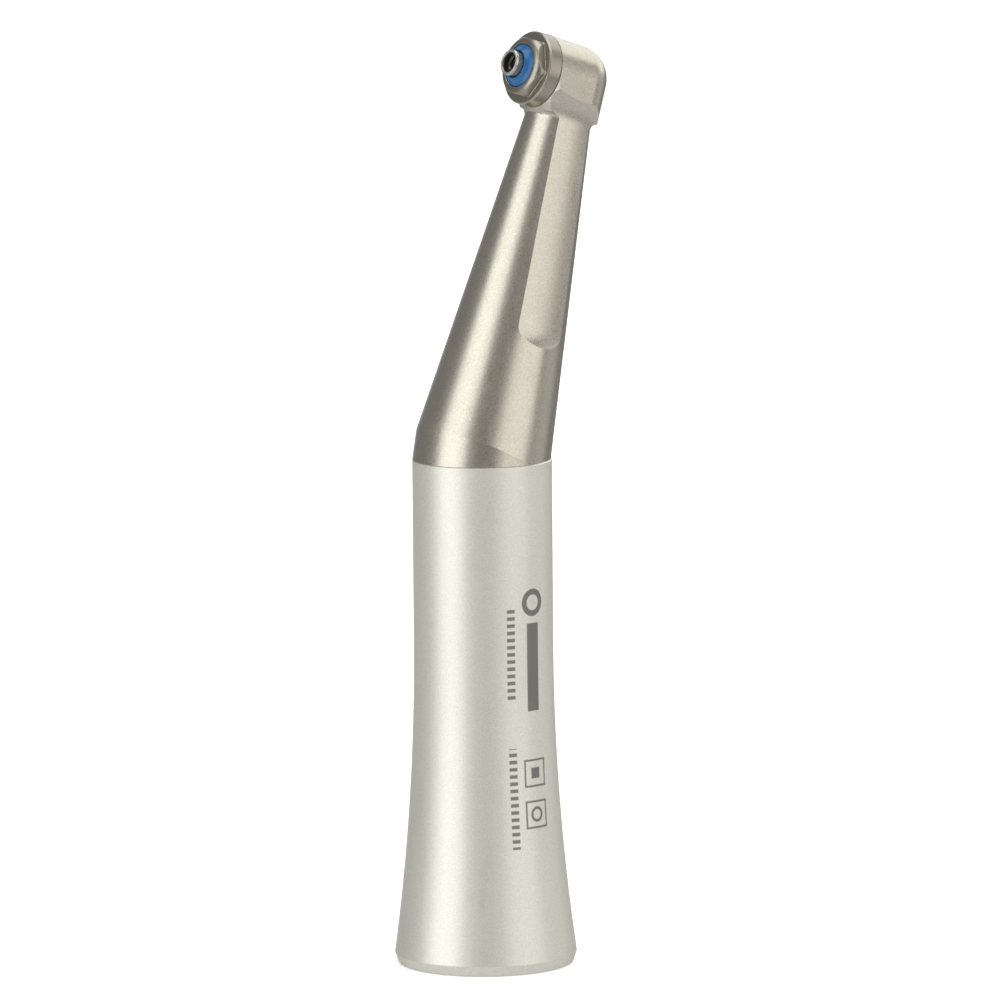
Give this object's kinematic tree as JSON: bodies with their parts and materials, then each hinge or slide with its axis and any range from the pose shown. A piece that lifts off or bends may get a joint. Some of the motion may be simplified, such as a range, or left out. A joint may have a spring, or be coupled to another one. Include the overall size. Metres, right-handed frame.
{
  "type": "contra angle handpiece",
  "caption": "Dental contra angle handpiece: flared grip sleeve, bent neck with flats, small head with a screw-in chuck and a sealed reduction drive train inside.",
  "frame": {"origin": "centre of the rear rim of the grip sleeve, on its axis", "axes": "+Z along the grip towards the head; the neck leans towards +X, the working end looks towards -X, the bend lies in the XZ plane"},
  "size_m": [0.0265, 0.0202, 0.1034],
  "materials": {
    "grip_metal": "satin silver, bead blasted and plated",
    "neck_metal": "satin warm nickel, bead blasted and plated",
    "cap_metal": "darker satin nickel with edges worn bright",
    "barrel_steel": "turned stainless steel",
    "nut_brass": "turned brass",
    "ring_rubber": "moulded nitrile rubber",
    "seal_blue": "glossy blue",
    "chuck_steel": "polished, fine turning lines",
    "spring_steel": "drawn spring wire",
    "gear_steel": "hardened and ground",
    "spacer_steel": "turned",
    "race_steel": "ground and polished",
    "ball_steel": "polished"
  },
  "bodies": {
    "housing": {"rear_sleeve": "grip_metal", "motor_socket": "barrel_steel", "gearbox_barrel": "barrel_steel", "sleeve_o_rings": "ring_rubber", "bearing_plate": "barrel_steel", "ring_gear": "gear_steel", "gearbox_nut": "nut_brass", "neck_housing": "neck_metal", "neck_bearing_nut": "nut_brass", "head_cap": "cap_metal", "front_seal": "seal_blue", "preload_washer": "spring_steel", "input_bearing_outer_race": "race_steel", "carrier_rear_bearing_outer_race": "race_steel", "carrier_front_bearing_outer_race": "race_steel", "neck_rear_bearing_outer_race": "race_steel", "neck_front_bearing_outer_race": "race_steel", "head_front_bearing_outer_race": "race_steel", "head_back_bearing_outer_race": "race_steel"},
    "input": {"input_shaft": "gear_steel", "dog_cross_pin": "gear_steel", "spring_seat": "spacer_steel", "dog_spring": "spring_steel", "input_bearing_inner_race": "race_steel", "input_bearing_balls": "ball_steel"},
    "dog": {"drive_dog": "gear_steel"},
    "carrier": {"planet_carrier": "gear_steel", "carrier_plate": "gear_steel", "planet_pins": "gear_steel", "carrier_spacer": "spacer_steel", "bend_drive_gear": "gear_steel", "carrier_rear_bearing_inner_race": "race_steel", "carrier_rear_bearing_balls": "ball_steel", "carrier_front_bearing_inner_race": "race_steel", "carrier_front_bearing_balls": "ball_steel"},
    "planet_1": {"planet_gear_1": "gear_steel"},
    "planet_2": {"planet_gear_2": "gear_steel"},
    "planet_3": {"planet_gear_3": "gear_steel"},
    "neck": {"neck_shaft": "gear_steel", "bend_driven_gear": "gear_steel", "head_pinion": "gear_steel", "neck_rear_bearing_inner_race": "race_steel", "neck_rear_bearing_balls": "ball_steel", "neck_front_bearing_inner_race": "race_steel", "neck_front_bearing_balls": "ball_steel"},
    "rotor": {"chuck_spindle": "chuck_steel", "head_gear": "gear_steel", "head_front_bearing_inner_race": "race_steel", "head_front_bearing_balls": "ball_steel", "head_back_bearing_inner_race": "race_steel", "head_back_bearing_balls": "ball_steel"}
  },
  "joints": [
    {"name": "input_spin", "type": "hinge", "parent": "housing", "child": "input", "pos_m": [0, 0, 0.0215], "axis": [0, 0, 1], "continuous": true},
    {"name": "dog_slide", "type": "slide", "parent": "input", "child": "dog", "axis": [0, 0, 1], "range_m": [0, 0.0015], "stiffness_N_per_m": 600, "springref_m": -0.001, "deforming": ["dog_spring"]},
    {"name": "carrier_spin", "type": "hinge", "parent": "housing", "child": "carrier", "pos_m": [0, 0, 0.038], "axis": [0, 0, 1], "continuous": true},
    {"name": "planet_1_spin", "type": "hinge", "parent": "carrier", "child": "planet_1", "pos_m": [0.003, 0, 0.0326], "axis": [0, 0, 1], "continuous": true},
    {"name": "planet_2_spin", "type": "hinge", "parent": "carrier", "child": "planet_2", "pos_m": [-0.0015, 0.0026, 0.0326], "axis": [0, 0, 1], "continuous": true},
    {"name": "planet_3_spin", "type": "hinge", "parent": "carrier", "child": "planet_3", "pos_m": [-0.0015, -0.0026, 0.0326], "axis": [0, 0, 1], "continuous": true},
    {"name": "neck_spin", "type": "hinge", "parent": "housing", "child": "neck", "pos_m": [0.00143, 0, 0.06214], "axis": [0.2865, 0, 0.9581], "continuous": true},
    {"name": "chuck_spin", "type": "hinge", "parent": "housing", "child": "rotor", "pos_m": [0.008, 0, 0.09911], "axis": [-0.9581, 0, 0.2865], "continuous": true}
  ],
  "couplings": [
    {"joint": "carrier_spin", "follows": "input_spin", "ratio": 0.25},
    {"joint": "planet_1_spin", "follows": "input_spin", "ratio": -0.75},
    {"joint": "planet_2_spin", "follows": "input_spin", "ratio": -0.75},
    {"joint": "planet_3_spin", "follows": "input_spin", "ratio": -0.75},
    {"joint": "neck_spin", "follows": "input_spin", "ratio": 0.25},
    {"joint": "chuck_spin", "follows": "input_spin", "ratio": 0.25}
  ]
}
